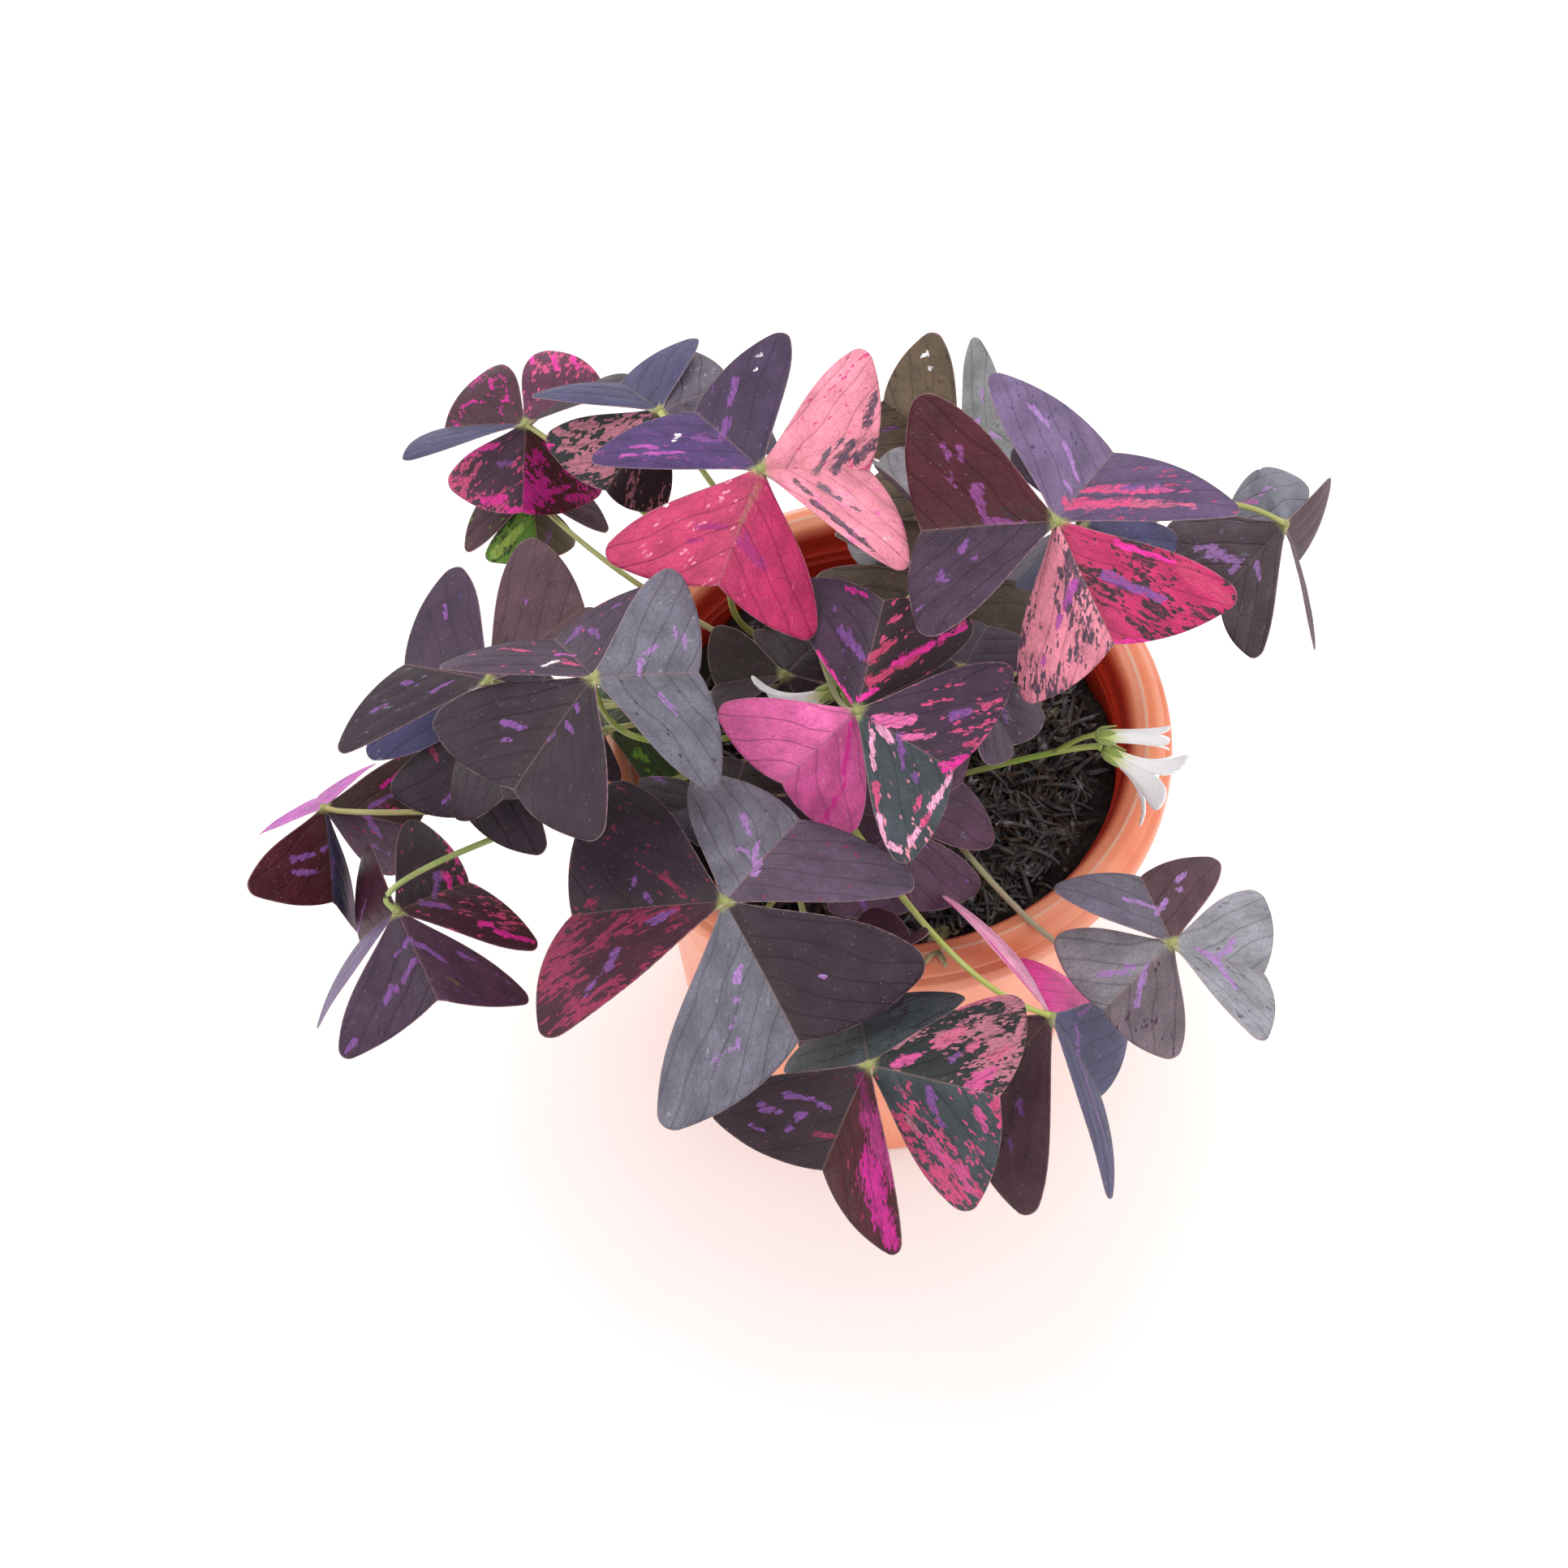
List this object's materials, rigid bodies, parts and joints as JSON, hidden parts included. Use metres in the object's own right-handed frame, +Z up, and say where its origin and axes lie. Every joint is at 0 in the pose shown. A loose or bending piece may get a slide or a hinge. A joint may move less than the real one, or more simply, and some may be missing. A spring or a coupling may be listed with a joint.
{
  "type": "potted purple shamrock",
  "caption": "Variegated purple shamrock in full leaf with white funnel blooms, growing in a round tapered plastic pot with a rolled rim.",
  "frame": {"origin": "centre of the pot's flat base, on the surface it stands on", "axes": "+Z up, +X towards the viewer's right, -Y towards the viewer"},
  "size_m": [0.2416, 0.231, 0.2272],
  "materials": {
    "terracotta_plastic": "satin",
    "husk_soil": "matte",
    "leaf_aubergine": "satin",
    "leaf_slate": "satin",
    "leaf_wine": "satin",
    "leaf_rose": "satin",
    "leaf_olive": "satin",
    "leaf_leaf_green": "satin",
    "leaf_stalk": "satin",
    "petal": "satin"
  },
  "bodies": {
    "root": {"pot": "terracotta_plastic", "soil": "husk_soil", "leaf_far_left_back": "leaf_wine", "stalk_far_left_back": "leaf_stalk", "leaf_left_back": "leaf_aubergine", "stalk_left_back": "leaf_stalk", "leaf_back_centre": "leaf_rose", "stalk_back_centre": "leaf_stalk", "leaf_back": "leaf_olive", "stalk_back": "leaf_stalk", "leaf_back_right": "leaf_wine", "stalk_back_right": "leaf_stalk", "leaf_far_right": "leaf_aubergine", "stalk_far_right": "leaf_stalk", "leaf_left_top": "leaf_slate", "stalk_left_top": "leaf_stalk", "leaf_left": "leaf_aubergine", "stalk_left": "leaf_stalk", "leaf_left_low": "leaf_aubergine", "stalk_left_low": "leaf_stalk", "leaf_far_left": "leaf_wine", "stalk_far_left": "leaf_stalk", "leaf_far_left_front": "leaf_wine", "stalk_far_left_front": "leaf_stalk", "leaf_centre": "leaf_rose", "stalk_centre": "leaf_stalk", "leaf_front_top": "leaf_slate", "stalk_front_top": "leaf_stalk", "leaf_front": "leaf_wine", "stalk_front": "leaf_stalk", "leaf_front_right": "leaf_aubergine", "stalk_front_right": "leaf_stalk", "leaf_right_front": "leaf_slate", "stalk_right_front": "leaf_stalk", "leaf_inner_front": "leaf_aubergine", "stalk_inner_front": "leaf_stalk", "leaf_inner_left": "leaf_olive", "stalk_inner_left": "leaf_stalk", "leaf_inner_right": "leaf_aubergine", "stalk_inner_right": "leaf_stalk", "leaf_inner_back_right": "leaf_olive", "stalk_inner_back_right": "leaf_stalk", "leaf_inner_back": "leaf_olive", "stalk_inner_back": "leaf_stalk", "leaf_right_back": "leaf_aubergine", "stalk_right_back": "leaf_stalk", "leaf_inner_front_left": "leaf_aubergine", "stalk_inner_front_left": "leaf_stalk", "leaf_left_back_low": "leaf_leaf_green", "stalk_left_back_low": "leaf_stalk", "leaf_front_low": "leaf_wine", "stalk_front_low": "leaf_stalk", "leaf_left_inner_low": "leaf_leaf_green", "stalk_left_inner_low": "leaf_stalk", "bloom_right": "petal", "flower_stalk_right": "leaf_stalk", "bloom_centre": "petal", "flower_stalk_centre": "leaf_stalk", "bloom_right_half_open": "petal"}
  },
  "joints": []
}
